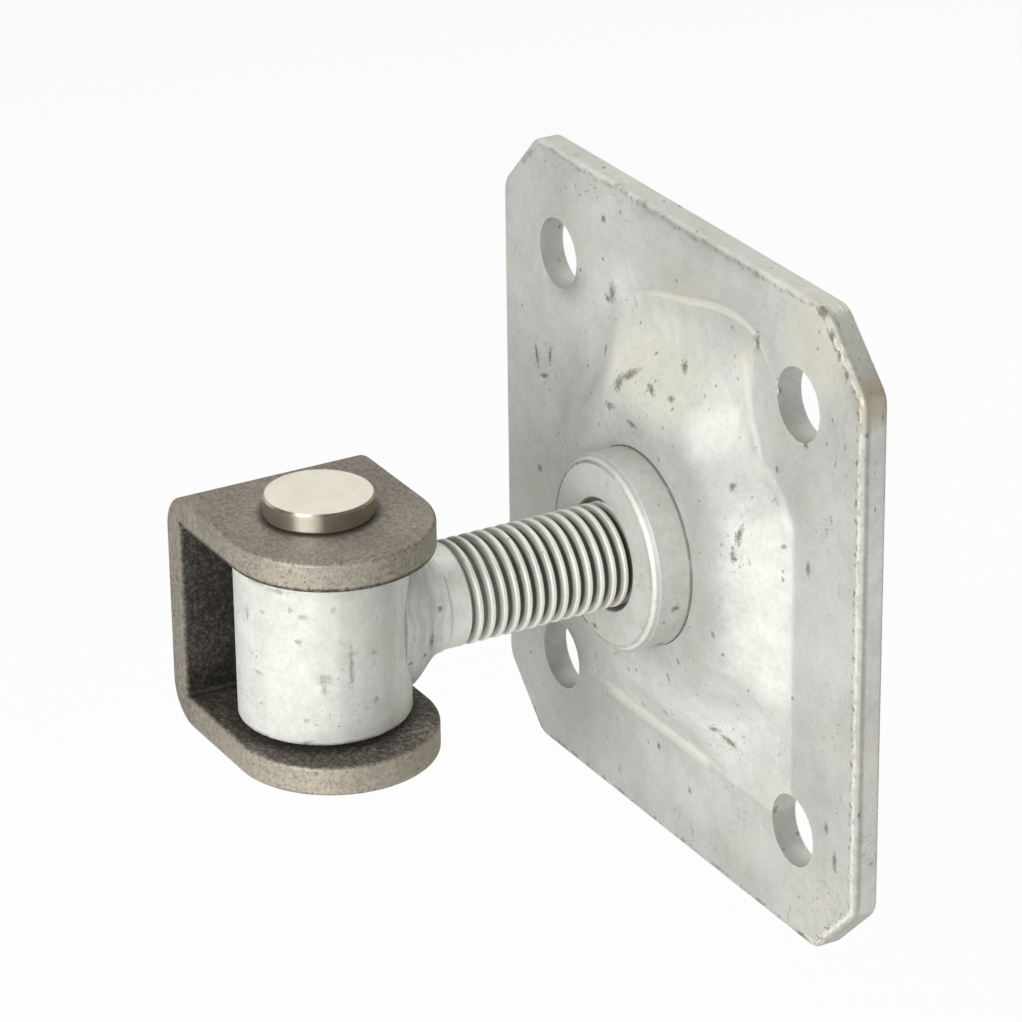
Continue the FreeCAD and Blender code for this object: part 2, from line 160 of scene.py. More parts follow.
class Finish(Tree):
    """A material on a piece's own coordinates, counted in millimetres."""

    def __init__(self, name, metallic):
        self.material = bpy.data.materials.new(name)
        self.material.use_nodes = True
        tree = self.material.node_tree
        tree.nodes.clear()
        super().__init__(tree.nodes, tree.links)
        self.shader = tree.nodes.new("ShaderNodeBsdfPrincipled")
        self.shader.inputs["Metallic"].default_value = metallic
        end = tree.nodes.new("ShaderNodeOutputMaterial")
        tree.links.new(self.shader.outputs[0], end.inputs["Surface"])
        place = self.node("ShaderNodeTexCoord", output="Object")
        self.place = self.node("ShaderNodeVectorMath", {"operation": "SCALE"},
                               {0: place, "Scale": 1 / MM})
        self.x, self.y, self.z = self.split(self.place)

    def facing(self):
        """The three numbers of the way the surface faces."""
        return self.split(self.node("ShaderNodeNewGeometry", output="Normal"))

    def from_axis(self, across, along):
        """The distance from the axis where both numbers are 0."""
        return self.math("SQRT", across * across + along * along)

    def round_pin(self):
        """How far round the pin's axis: 1 towards the plate's right side, -1 opposite it."""
        past_axis = self.y - PIN_AXIS_Y / MM
        return (self.x * 0.485 + past_axis * 0.875) / self.from_axis(self.x, past_axis)

    def away(self, place, size, tilt=0.0):
        """The distance from a place, counted in sizes of an oval that is tilted about Y."""
        turned = self.place
        if tilt:
            turned = self.node("ShaderNodeVectorRotate", {"rotation_type": "Y_AXIS"},
                               {"Vector": turned, "Center": place,
                                "Angle": math.radians(tilt)})
        share = [1 / length for length in size]
        start = [-middle * part for middle, part in zip(place, share)]
        local = self.node("ShaderNodeVectorMath", {"operation": "MULTIPLY_ADD"},
                          {0: turned, 1: share, 2: start})
        return self.node("ShaderNodeVectorMath", {"operation": "LENGTH"}, {0: local}, "Value")

    def nearest(self, spots):
        """The least distance from a list of spots."""
        found = None
        for spot in spots:
            distance = self.away(*spot)
            found = found.least(distance) if found else distance
        return found

    def noise(self, size, shift=(0, 0, 0), detail=2.0, rough=0.5, stretch=(1, 1, 1),
              bend=0.0):
        """Cloudy values from 0 to 1 whose blotches are about size millimetres wide."""
        place = self.node("ShaderNodeVectorMath", {"operation": "MULTIPLY_ADD"},
                          {0: self.place, 1: stretch, 2: shift})
        return self.node("ShaderNodeTexNoise", {},
                         {"Vector": place, "Scale": 1 / size, "Detail": detail,
                          "Roughness": rough, "Distortion": bend}, "Fac")

    def mix(self, first, second, share):
        made = self.nodes.new("ShaderNodeMix")
        made.data_type = "RGBA"
        for index, value in ((6, first), (7, second), (0, share)):
            if isinstance(value, Wire):
                self.links.new(value.socket, made.inputs[index])
            elif index == 0:
                made.inputs[index].default_value = value
            else:
                made.inputs[index].default_value = (*value, 1)
        return Wire(self, made.outputs[2])

    def scaled(self, colour, share):
        return self.node("ShaderNodeVectorMath", {"operation": "SCALE"},
                         {0: colour, "Scale": share})

    def edges(self, radius):
        """1 on the sharp edges of the piece and 0 on its open faces."""
        rounded = self.node("ShaderNodeBevel", {"samples": 6}, {"Radius": radius * MM})
        flat = self.node("ShaderNodeNewGeometry", output="Normal")
        same = self.node("ShaderNodeVectorMath", {"operation": "DOT_PRODUCT"},
                         {0: rounded, 1: flat}, "Value")
        return same.fall(0.86, 0.995)

    def softened(self, radius, share):
        """The way the surface faces, with its folds rounded where the share is 1."""
        true = self.node("ShaderNodeNewGeometry", output="Normal")
        rounded = self.node("ShaderNodeBevel", {"samples": 8}, {"Radius": radius * MM})
        change = self.node("ShaderNodeVectorMath", {"operation": "SUBTRACT"},
                           {0: rounded, 1: true})
        part = self.node("ShaderNodeVectorMath", {"operation": "SCALE"},
                         {0: change, "Scale": share})
        return self.node("ShaderNodeVectorMath", {"operation": "ADD"}, {0: true, 1: part})

    def finish(self, colour, roughness, height, depth, facing=None):
        """Joins the colour, the roughness and a height that stands depth millimetres proud."""
        sockets = {"Height": height, "Distance": depth * MM, "Strength": 1.0}
        if facing:
            sockets["Normal"] = facing
        bump = self.node("ShaderNodeBump", {}, sockets)
        for name, wire in (("Base Color", colour), ("Roughness", roughness),
                           ("Normal", bump)):
            self.links.new(wire.socket, self.shader.inputs[name])
        return self.material


# Zinc

ZINC_DARK = (0.385, 0.397, 0.36)
ZINC_PALE = (0.655, 0.66, 0.617)
ZINC_CREAM = (0.80, 0.775, 0.68)
ZINC_PIT = (0.12, 0.11, 0.088)
RUST_STAIN = (0.60, 0.545, 0.40)
DEEP = 1000.0


class Zinc(Finish):
    """Hot-dip zinc: pale grey and cloudy, with fine grain, small dark pits and warm stains.

    A piece adds its own marks before it calls done.
    """

    def __init__(self, name, shift, pits=1.0, warmth=1.0, edge=0.35):
        super().__init__(name, 0.2)
        self.cloud = self.noise(26, shift, 3)
        self.patch = self.noise(7, shift, 4, 0.6)
        self.blotch = self.noise(2.4, shift, 3, 0.6)
        self.grain = self.noise(0.8, shift, 3, 0.65)
        self.grit = self.noise(0.5, (2, shift[0], 6), 2, 0.6)
        tone = self.cloud.rise(0.3, 0.7) * 0.34 + self.patch.rise(0.25, 0.75) * 0.26
        self.tone = tone + self.blotch.rise(0.25, 0.75) * 0.2 + self.grain.rise(0.3, 0.7) * 0.2
        self.colour = self.mix(ZINC_DARK, ZINC_PALE, self.tone)
        stain = self.noise(17, (shift[0] + 40, shift[1], 7), 3, 0.6).rise(0.54, 0.72)
        self.colour = self.mix(self.colour, RUST_STAIN, stain * (0.35 * warmth))
        where = self.noise(13, (shift[0], 31, shift[1]), 2).rise(0.52, 0.66)
        specks = self.noise(0.75, (5, shift[0], 3), 2, 0.7).rise(0.62, 0.70)
        nicks = self.noise(1.6, (9, 2, shift[0]), 3, 0.75, (1, 1, 0.45), 0.4).rise(0.63, 0.69)
        lone = self.noise(1.3, (shift[1], 17, 4), 0).rise(0.80, 0.84)
        self.specks = specks
        self.marks = ((specks * 0.6 + nicks) * where).most(lone) * pits
        self.dents = self.marks
        self.rim = self.edges(0.7)
        self.edge_share = edge
        self.proud = self.patch * 0.45 + self.blotch * 0.2 + self.grain * 0.3

    def tint(self, colour, share):
        self.colour = self.mix(self.colour, colour, share)

    def shade(self, share):
        self.colour = self.scaled(self.colour, share)

    def pit(self, spots, strength=1.0):
        """Ragged dark pits at the spots."""
        distance = self.nearest(spots) + (self.grit - 0.5) * 2.0
        pitted = distance.fall(0.1, 1.4)
        self.marks = self.marks + pitted * strength
        self.dents = self.dents + pitted

    def speckle(self, spots, strength=1.0):
        """Patches full of fine dark specks."""
        self.marks = self.marks + self.nearest(spots).fall(0.6, 1.3) * self.specks * strength

    def done(self, gloss=0.44, facing=None):
        marks = self.marks.least(1.0)
        colour = self.mix(self.colour, ZINC_CREAM, self.rim * self.edge_share)
        colour = self.mix(colour, ZINC_PIT, marks * 0.82)
        rough = self.tone * 0.14 + marks * 0.2 + gloss
        height = self.proud - self.dents.least(1.0) * 0.8
        return self.finish(colour, rough, height, 0.12, facing)


def on_plate(x, z, wide, high=None, tilt=0.0):
    """A spot on the plate's front, at x and z, that reaches right through its depth."""
    return ((x, 0, z), (wide, DEEP, high or wide), tilt)


def plate_finish(name, folds_softened):
    skin = Zinc(name, (0, 0, 0), 0.7, edge=0.12)
    x, y, z = skin.x, skin.y, skin.z
    square = abs(x).most(abs(z))
    corner = (2 * PLATE_HALF - PLATE_CORNER_CUT - abs(x) - abs(z)) * math.sqrt(0.5)
    border = (PLATE_HALF - square).least(corner)
    front = y.fall(-3.3, -2.6)
    ragged = skin.noise(5, (8, 3, 1), 3, 0.6)
    torn = skin.noise(1.5, (1, 7, 2), 3, 0.7)

    # painted light and shade: the pressed sides are painted paler as a highlight, the raised top
    # to the right of the collar is painted darker as shade, and the flat border stays duller
    foot_line = abs(x).most(0 - z)
    slope_highlight = square.rise(16, 25) * foot_line.fall(32.6, 33.4) * z.fall(34, 41) * x.rise(-33, -15)
    slope_highlight = slope_highlight * skin.away(*on_plate(34, 32, 12.5, 17)).rise(0.94, 1.06)
    crown_shade = y.fall(-9.7, -8.0) * x.rise(6, 15)
    shade = 0.82 + slope_highlight * 0.19 - crown_shade * 0.11
    # patches painted lighter or darker by place: painted light and shade
    for place, change in (
            (on_plate(-38, -38, 17), -0.09), (on_plate(-2, 28, 14, 8), 0.13),
            (on_plate(36, 44, 12), 0.10), (on_plate(-15, 40, 12, 8), 0.05),
            (on_plate(12, -38, 22, 6), 0.10), (on_plate(30, 0, 4, 20), 0.07),
            (on_plate(-26, 0, 9, 18), -0.05), (on_plate(41, -42, 7), -0.05),
            (on_plate(-12, 18, 9, 7), 0.07), (on_plate(4, -21, 10, 6), 0.09),
            (on_plate(22, 31, 6), 0.06), (on_plate(28, 26, 4, 6), -0.05)):
        shade = shade + skin.away(*place).fall(0.4, 1.4) * change
    # the right side face and the top face are painted lighter: painted light
    shade = shade + x.rise(49.2, 49.8) * (1 - front) * 0.30 + z.rise(49.2, 49.8) * 0.24
    skin.shade(shade)

    # warm stains
    skin.tint((0.60, 0.57, 0.44), z.rise(49.0, 49.8) * 0.2)
    skin.tint((0.64, 0.60, 0.46), skin.away(*on_plate(0, 27, 15, 7)).fall(0.3, 1.3) * 0.30)
    skin.tint((0.60, 0.57, 0.44), skin.away(*on_plate(41, -43, 9)).fall(0.4, 1.3)
              * torn.rise(0.3, 0.7) * 0.5)
    skin.tint((0.62, 0.58, 0.44), skin.away(*on_plate(38, 44, 9)).fall(0.3, 1.3) * 0.35)
    skin.tint((0.36, 0.27, 0.17), skin.away(*on_plate(49.5, 40, 3, 5)).fall(0.3, 1.2) * 0.6)

    # the crest of the pressed ridge, a painted highlight along the foot of the pressing, and the
    # sheared edges
    # the pale crest of the pressed ridge: rubbed zinc with a painted highlight
    ridge = y.fall(-4.20, -4.12) * square.rise(33.4, 33.9) * border.rise(3, 4)
    skin.tint(ZINC_CREAM, ridge * 0.3)
    # a ragged pale band along the lower foot of the pressing: painted highlight
    foot = z.band(-32.9, 0.5, 0.9) * x.rise(-22, -17) * x.fall(8, 12)
    skin.tint(ZINC_CREAM, foot * (ragged * 0.6 + 0.15))
    fringe = border.band(0.85, 0.25, 0.3) * front * x.rise(34, 40) * torn.rise(0.36, 0.52)
    skin.tint(ZINC_CREAM, fringe * 0.6)
    rolled = border.fall(0.35, 0.6) * front * x.rise(34, 40)
    skin.tint((0.36, 0.36, 0.31), rolled * torn.fall(0.40, 0.62) * 0.85)

    in_front = skin.facing()[1].fall(-0.3, 0.0)
    # a pale line along the fold where the pressed side meets the flat, right of the dome: painted
    # highlight
    fold_highlight = skin.nearest([on_plate(20.3, 31.1, 1.1, 5, 11), on_plate(22.8, 24.3, 1.1, 5, 28),
                          on_plate(26.9, 19.6, 1.1, 4.2, 60), on_plate(30.7, 16.0, 1.1, 4, 29)])
    skin.tint((0.86, 0.85, 0.78), fold_highlight.fall(0.1, 1.3) * in_front * 0.32)

    # dark marks
    gaps = border.band(1.4, 0.25, 0.3) * front * x.rise(38, 42)
    skin.marks = skin.marks + gaps * torn.rise(0.50, 0.60) * 0.85
    line = border - ragged * 3.0 + 0.75
    top_line = line.band(0.0, 0.12, 0.5) * front * z.rise(44, 45) * x.fall(40, 42)
    skin.marks = skin.marks + top_line * torn.rise(0.40, 0.62) * 0.55
    low_line = border.band(0.7, 0.2, 0.3) * front * z.fall(-46, -45)
    skin.marks = skin.marks + low_line * torn.rise(0.5, 0.6) * 0.7
    skin.pit([
        on_plate(-5.3, 24.9, 1.9, 0.7, 35), on_plate(-7.0, 23.2, 0.9, 1.2),
        on_plate(0.7, 24.8, 1.3, 0.5, -20), on_plate(5.4, 29.4, 1.1, 0.6, -30),
        on_plate(6.0, 25.1, 0.8, 0.5), on_plate(-17.5, 32.7, 0.9, 1.7),
        on_plate(-18.7, 31.3, 0.9, 0.6),
        on_plate(-8.4, 19.3, 1.7, 0.5, 10), on_plate(-2.0, 18.6, 1.5, 0.4),
        on_plate(-17.4, 23.9, 0.8), on_plate(-20.0, 43.5, 0.7),
        on_plate(24.6, 10.8, 0.55, 1.7), on_plate(24.1, 7.6, 0.4, 1.2),
        on_plate(36.6, 9.7, 0.65, 1.2), on_plate(22.9, 39.1, 0.75, 1.4),
        on_plate(-39.7, -4.1, 0.7), on_plate(44.7, -33.4, 0.6, 1.6),
        on_plate(20.6, 16.7, 0.6), on_plate(28.2, 21.6, 0.5), on_plate(35.6, 28.2, 0.7),
        on_plate(42.4, -29.0, 0.6, 0.9), on_plate(17.4, -26.2, 1.4, 0.6, -35),
        on_plate(15.2, -24.6, 0.8, 0.5), on_plate(36, -49.4, 1.4, 0.5),
        on_plate(2.0, -27.5, 0.6), on_plate(-4.0, -36.5, 0.6), on_plate(5.0, -40.0, 0.5),
    ], in_front)
    skin.pit([
        on_plate(-40.3, 14.5, 0.45, 2.0, 12), on_plate(-36.2, 16.0, 0.4, 1.5, -8),
        on_plate(-38.0, 12.0, 1.4, 0.4, 20), on_plate(39.1, 49.4, 1.3, 0.8),
        on_plate(41.7, 46.9, 0.6, 0.8), on_plate(43.6, 44.5, 0.5, 0.8),
        on_plate(45.6, 42.4, 0.5, 0.8),
    ], in_front * 1.2)
    skin.speckle([on_plate(-2, 23, 9, 4), on_plate(4.0, -27.8, 6, 4), on_plate(16, -26, 6, 4),
                  on_plate(-38, 14, 6, 5), on_plate(-25, 46, 20, 2.5),
                  on_plate(43, -38, 4, 8), on_plate(24, 9, 3, 6)], in_front * 0.8)
    if not folds_softened:
        return skin.done()
    left_of_dome = x.fall(-15, -9) * x.rise(-40, -36) * abs(z).fall(31, 35)
    above_dome = x.rise(-14, -8) * x.fall(22, 27) * z.rise(26, 29)
    return skin.done(facing=skin.softened(8.0, left_of_dome.most(above_dome) * in_front))


def collar_finish():
    skin = Zinc("collar_zinc", (50, 20, 10), 0.6, 0.5, 0.16)
    out = skin.from_axis(skin.x, skin.z)
    torn = skin.noise(2.5, (6, 1, 3), 3, 0.7)
    # the front face is painted a little darker and the outer bevel darker still: painted shade
    face = skin.y.fall(COLLAR_FACE_Y + 0.05, COLLAR_FACE_Y + 0.2)
    edge = out.rise(COLLAR_RADIUS - 0.55, COLLAR_RADIUS - 0.4) * skin.y.fall(-15.1, -15.0)
    skin.shade(0.95 - face * 0.05 - edge * 0.28)
    # a torn dark line round the edge of the face, made stronger on the left as painted shade
    outline = out.band(COLLAR_RADIUS - 1.12, 0.14, 0.22) * skin.y.fall(-15.6, -15.4)
    shade_on_left = skin.x.fall(-6, 4) * 0.5 + 0.4
    skin.marks = skin.marks + outline * torn.rise(0.30, 0.55) * shade_on_left
    # a pale line on the bevel, on the right side only: painted highlight
    right = skin.x.rise(2, 9)
    bevel = out.band(COLLAR_RADIUS - 0.8, 0.2, 0.1) * skin.y.fall(-15.4, -15.2)
    skin.tint(ZINC_CREAM, bevel * right * 0.3)
    seam = skin.y.band(COLLAR_FOOT_Y - 0.05, 0.25, 0.25)
    skin.marks = skin.marks + seam * torn.rise(0.30, 0.50) * 0.8
    # the mouth of the bore is painted near black: painted shade
    mouth_shade = out.fall(BORE_RADIUS + 0.35, BORE_RADIUS + 0.8)
    skin.tint((0.05, 0.05, 0.04), mouth_shade * 0.85)
    skin.pit([((14.4, -12.3, -3.6), (0.7, 0.7, 0.7), 0), ((9.5, -12, -11.5), (0.8, 0.8, 0.5), 0),
              ((-6.0, -16, -11.6), (1.6, 0.6, 0.5), 30), ((-2.5, -16, -12.6), (1.0, 0.6, 0.4), 0)])
    return skin.done()


def barrel_finish():
    skin = Zinc("barrel_zinc", (90, 60, 30), 0.45, 0.4, 0.25)
    turn = skin.round_pin()
    # painted light and shade round the pin's axis: darker partway round towards the plate's right
    # side, lighter close to that side
    skin.shade(1.10 - turn.band(0.52, 0.24, 0.12) * 0.14 + turn.rise(0.80, 0.95) * 0.18)
    scrape = skin.noise(1.0, (4, 4, 9), 3, 0.6, (1, 1, 0.22)).rise(0.60, 0.72)
    skin.marks = skin.marks + scrape * skin.cloud.rise(0.4, 0.6) * 0.25
    foot = skin.z.fall(-12.7, -12.2) * skin.blotch.rise(0.45, 0.6)
    skin.marks = skin.marks + foot * 0.7
    skin.pit([
        ((12.4, -63.8, -1.0), (0.45, 0.45, 3.0), 0), ((12.4, -63.8, 1.0), (1.0, 1.0, 0.6), 0),
        ((11.2, -67.5, -2.5), (1.1, 1.1, 0.9), 0), ((11.2, -67.5, -4.2), (0.5, 0.5, 1.2), 0),
        ((9.7, -69.9, 7.0), (0.7, 0.7, 0.5), 0), ((11.8, -66.1, 8.2), (0.4, 0.4, 0.5), 0),
        ((12.4, -60.2, 0.6), (0.6, 0.6, 0.5), 0), ((3.3, -74.1, -3.0), (1.0, 1.0, 0.4), 0),
        ((1.2, -74.4, 5.5), (0.5, 0.5, 1.2), 0), ((9.9, -69.6, -12.8), (0.9, 0.9, 0.7), 0),
        ((3.6, -74.0, 11.1), (1.6, 1.6, 0.4), 0), ((6.8, -72.5, 10.6), (1.8, 1.8, 0.4), 0),
        ((9.2, -70.5, 3.2), (0.4, 0.4, 0.5), 0), ((12.3, -60.0, -7.0), (0.5, 0.5, 0.5), 0),
    ], 0.55)
    skin.speckle([((12.3, -64.5, -9), (6, 6, 3), 0), ((11, -67, -3), (3, 3, 3), 0),
                  ((6, -73, -8), (5, 5, 3), 0)], 0.6)
    return skin.done()


def weld_finish():
    """The weld round the rod's foot: ripples that run round the rod, dull in the hollows."""
    skin = Zinc("weld_zinc", (17, 70, 40), 0.7, 0.5, 0.1)
    along = skin.y - PIN_AXIS_Y / MM
    wander = skin.noise(4, (2, 5, 1), 3) * 12
    ripple = skin.math("SINE", along * 3.2 + wander)
    skin.shade(0.90 + ripple * 0.03 + along.rise(12.5, 15.0) * 0.20)
    hollow = ripple.fall(-1.0, -0.3) * skin.blotch.rise(0.4, 0.6)
    skin.marks = skin.marks + hollow * 0.12
    skin.pit([((8.5, -47.4, 2.2), (2.5, 0.5, 0.55), 0), ((9.4, -49.0, -2.4), (2, 0.5, 1.6), 0)])
    skin.proud = skin.proud + ripple * 0.22
    return skin.done()


def rod_finish():
    """Zinc on the thread's crests, rubbed pale with a painted highlight, grey flanks painted
    darker as shade, and dark green-black grime with painted shade in its roots.
    """
    skin = Zinc("rod_zinc", (130, 10, 70), 0.4, 0.7, 0.0)
    out = skin.from_axis(skin.x, skin.z)
    deep = ROD_RADIUS / MM - out
    past_eye = skin.y - PIN_AXIS_Y / MM
    cut = past_eye.rise(19.0, 20.5)
    filled = past_eye.fall(21.5, 30.0)
    skin.shade(1.22 - cut * 0.18)
    # grey thread flanks: painted shade
    skin.tint((0.33, 0.355, 0.315), cut * deep.rise(0.10, 0.50) * 0.52)
    # dark roots: green-black grime with painted shade
    skin.tint((0.045, 0.052, 0.042), cut * deep.rise(0.60, 1.05) * (0.94 - filled * 0.35))
    # pale crests: rubbed zinc with a painted highlight
    skin.tint(ZINC_CREAM, cut * deep.fall(0.08, 0.3) * 0.7)
    rust = skin.away((2, COLLAR_FACE_Y - 1.5, -7.5), (6, 5, 4)).fall(0.4, 1.2)
    skin.tint((0.34, 0.22, 0.11), rust * skin.blotch.rise(0.3, 0.6) * 0.5)
    return skin.done(0.36)


# Steel

def bare_steel(name):
    """Rolled steel as it comes from the bending press: brown-grey, with rubbed cut edges that are
    painted paler towards the open end as a highlight.

    The inside of the bend is painted near black, as mill scale and painted shade, darkest on the
    web, with the lower arm's top painted lighter towards the open end as painted light. Rings of
    painted shadow lie where the eye and the pin's head sit.
    """
    skin = Finish(name, 0.5)
    cloud = skin.noise(9, (3, 1, 2), 3, 0.6)
    mottle = skin.noise(0.85, (7, 4, 1), 3, 0.7)
    grain = skin.noise(0.4, (2, 8, 5), 2, 0.6)
    tone = cloud.rise(0.3, 0.7) * 0.22 + mottle.rise(0.33, 0.67) * 0.43 \
        + grain.rise(0.33, 0.67) * 0.35
    colour = skin.mix((0.108, 0.094, 0.075), (0.335, 0.296, 0.240), tone)
    # rubbed cut edges, painted paler towards the open end and less on the upper arm: wear with a
    # painted highlight
    upright = abs(skin.facing()[2]).fall(0.3, 0.8)
    cut = upright * skin.x.rise(-14.0, -11.0)
    upper = skin.z.rise(-2, 2)
    bright_share = (tone * 0.6 + 0.3) * (1 - upper * 0.35) * (skin.x.rise(-10, 6) * 0.7 + 0.3)
    colour = skin.mix(colour, (0.42, 0.385, 0.31), cut * bright_share)
    # the inside of the U is painted near black: mill scale and painted shade
    inside = skin.x.rise(-15.1, -14.3) * abs(skin.z).fall(13.7, 14.1)
    scale_and_shade = skin.mix((0.006, 0.0056, 0.005), (0.17, 0.152, 0.125), tone ** 3 * 2.0)
    colour = skin.mix(colour, scale_and_shade, inside * 0.93)
    # the web is painted darker still, more so low down, and the lower arm's top is painted lighter
    # towards the open end: painted shade and painted light
    web_shade = inside * skin.x.fall(-13.9, -13.2)
    lit = inside * skin.z.fall(-13.6, -13.4) * skin.x.rise(-12, 6)
    shade = 1 - web_shade * (0.62 + skin.z.fall(-13, -8) * 0.2) + lit * 0.7
    colour = skin.scaled(colour, shade)
    edge = skin.edges(0.9)
    colour = skin.mix(colour, (0.45, 0.415, 0.345), edge * (tone * 0.5 + 0.35))
    # dark rings on the bracket round the pin's head and round the eye's foot: painted shadow
    out = skin.from_axis(skin.x, skin.y - PIN_AXIS_Y / MM)
    under_head = out.fall(8.2, 9.4) * skin.z.rise(17.4, 17.6)
    round_foot = out.fall(BARREL_RADIUS / MM + 0.2, BARREL_RADIUS / MM + 2.4) * inside
    contact_shadow = (under_head * 0.75).most(round_foot * 0.35)
    colour = skin.mix(colour, (0.022, 0.018, 0.014), contact_shadow)
    dark = skin.noise(0.55, (1, 6, 9), 2, 0.7).rise(0.59, 0.68)
    colour = skin.mix(colour, (0.05, 0.043, 0.035), dark * 0.5)
    rough = 0.52 + mottle * 0.16 - edge * 0.12
    height = mottle * 0.5 + grain * 0.5 - dark * 0.4
    return skin.finish(colour, rough, height, 0.09)


def turned_steel(name):
    """Bright turned steel with fine rings about the pin's axis and a faint warm cast."""
    skin = Finish(name, 0.9)
    radius = skin.from_axis(skin.x, skin.y - PIN_AXIS_Y / MM)
    rings = skin.math("SINE", radius * 21 + skin.noise(2, detail=2) * 5)
    turns = skin.math("SINE", skin.z * 27 + skin.noise(3, (4, 4, 4), 2) * 4)
    grain = skin.noise(0.5, (8, 1, 3), 3, 0.6)
    cloud = skin.noise(4, (1, 2, 8), 3)
    colour = skin.mix((0.63, 0.58, 0.475), (0.83, 0.78, 0.665),
                      cloud * 0.6 + grain * 0.4)
    # the head's side is dark, with a bright band partway round the pin: painted reflection and
    # painted shade
    rim = radius.rise(HEAD_RADIUS / MM - 0.5, HEAD_RADIUS / MM - 0.2) * skin.z.rise(18, 18.2)
    bright_share = skin.round_pin().band(-0.16, 0.10, 0.22)
    colour = skin.mix(colour, (0.30, 0.27, 0.21), rim * (1 - bright_share) * 0.8)
    colour = skin.mix(colour, (0.97, 0.93, 0.83), rim * bright_share * 0.8)
    # a dark ring round the foot of the head, where it sits on the bracket: painted shadow
    foot = skin.z.fall(17.75, 18.1) * radius.rise(7.6, 7.9)
    colour = skin.mix(colour, (0.03, 0.026, 0.02), foot * 0.8)
    rough = 0.22 + grain * 0.12 + cloud * 0.05
    height = rings * 0.15 + turns * 0.15 + grain * 0.2
    return skin.finish(colour, rough, height, 0.007)


# The rod's thread

class Rule(Tree):
    """A Geometry Nodes tree with named number inputs."""

    def __init__(self, name, sizes):
        self.group = bpy.data.node_groups.new(name, "GeometryNodeTree")
        super().__init__(self.group.nodes, self.group.links)
        face = self.group.interface
        face.new_socket("Geometry", in_out="OUTPUT", socket_type="NodeSocketGeometry")
        face.new_socket("Geometry", in_out="INPUT", socket_type="NodeSocketGeometry")
        self.sizes = {}
        for size_name, value in sizes.items():
            kind = "NodeSocketInt" if isinstance(value, int) else "NodeSocketFloat"
            item = face.new_socket(size_name, in_out="INPUT", socket_type=kind)
            self.sizes[item.identifier] = value
        start = self.nodes.new("NodeGroupInput")
        self.inputs = {name: Wire(self, start.outputs[name]) for name in sizes}

    def end(self, geometry, material):
        real = self.node("GeometryNodeRealizeInstances", {}, {"Geometry": geometry})
        painted = self.node("GeometryNodeSetMaterial", {},
                            {"Geometry": real, "Material": material})
        last = self.nodes.new("NodeGroupOutput")
        self.links.new(painted.socket, last.inputs[0])

    def piece(self, name):
        """The tree's result as a plain mesh object in the row's frame."""
        holder = bpy.data.objects.new(name + "_rule", bpy.data.meshes.new(name + "_rule"))
        bpy.context.scene.collection.objects.link(holder)
        modifier = holder.modifiers.new("rule", "NODES")
        modifier.node_group = self.group
        for identifier, value in self.sizes.items():
            modifier[identifier] = value
        seen = holder.evaluated_get(bpy.context.evaluated_depsgraph_get())
        mesh = bpy.data.meshes.new_from_object(seen)
        bpy.data.objects.remove(holder)
        made = bpy.data.objects.new(name, mesh)
        bpy.context.scene.collection.objects.link(made)
        return made


def thread_rule(material):
    """A rod whose skin rises and falls by a right-hand helix, with a plain neck at the eye.

    A flat sheet is rolled round the Y axis. Each point's radius comes from how far it is
    along the rod and how far round it.
    """
    rule = Rule("screw_thread", {
        "Start": PIN_AXIS_Y + BARREL_RADIUS * 0.76,
        "End": ROD_END_Y,
        "Pitch": 2.0 * MM,
        "Crest radius": ROD_RADIUS,
        "Root radius": ROD_RADIUS - 1.12 * MM,
        "Neck radius": ROD_RADIUS - 0.1 * MM,
        "Neck end": PIN_AXIS_Y + 19.6 * MM,
        "End bevel": 1.5 * MM,
        "Rows": 901,
        "Columns": 97,
    })
    put = rule.inputs
    sheet = rule.node("GeometryNodeMeshGrid", {},
                      {"Size X": 1.0, "Size Y": 1.0, "Vertices X": put["Rows"],
                       "Vertices Y": put["Columns"]}, "Mesh")
    spot = rule.split(rule.node("GeometryNodeInputPosition"))
    along = spot[0] + 0.5
    round_share = spot[1] + 0.5
    length = put["End"] - put["Start"]
    level = put["Start"] + along * length
    turn = rule.math("FRACT", (level - put["End"]) / put["Pitch"] - round_share + 64.0)
    flank = abs(turn * 2 - 1)
    ridge = flank.rise(0.16, 0.80)
    thread = put["Root radius"] + (put["Crest radius"] - put["Root radius"]) * ridge
    plain = level.fall(put["Neck end"], put["Neck end"] + put["Pitch"] * 0.6)
    radius = thread + (put["Neck radius"] - thread) * plain
    bevelled = put["Crest radius"] - put["End bevel"] + (put["End"] - level)
    radius = radius.least(bevelled)
    open_end = rule.math("GREATER_THAN", along, 0.0001) * rule.math("LESS_THAN", along, 0.9999)
    radius = radius * open_end
    angle = round_share * (2 * math.pi)
    rolled = rule.node("ShaderNodeCombineXYZ", {},
                       {"X": radius * rule.math("SINE", angle), "Y": level,
                        "Z": radius * rule.math("COSINE", angle)})
    tube = rule.node("GeometryNodeSetPosition", {}, {"Geometry": sheet, "Position": rolled})
    closed = rule.node("GeometryNodeMergeByDistance", {},
                       {"Geometry": tube, "Distance": 0.002 * MM})
    smooth = rule.node("GeometryNodeSetShadeSmooth", {}, {"Geometry": closed})
    rule.end(smooth, material)
    return rule


# The pressed ridge

RIDGE_LINE = [(-13.5, 33.6), (-9.0, 35.6), (-3.8, 37.2), (4.5, 39.0), (10.5, 40.4),
              (16.7, 41.1), (21.0, 40.6), (23.9, 39.1), (25.8, 36.3), (26.8, 32.9)]


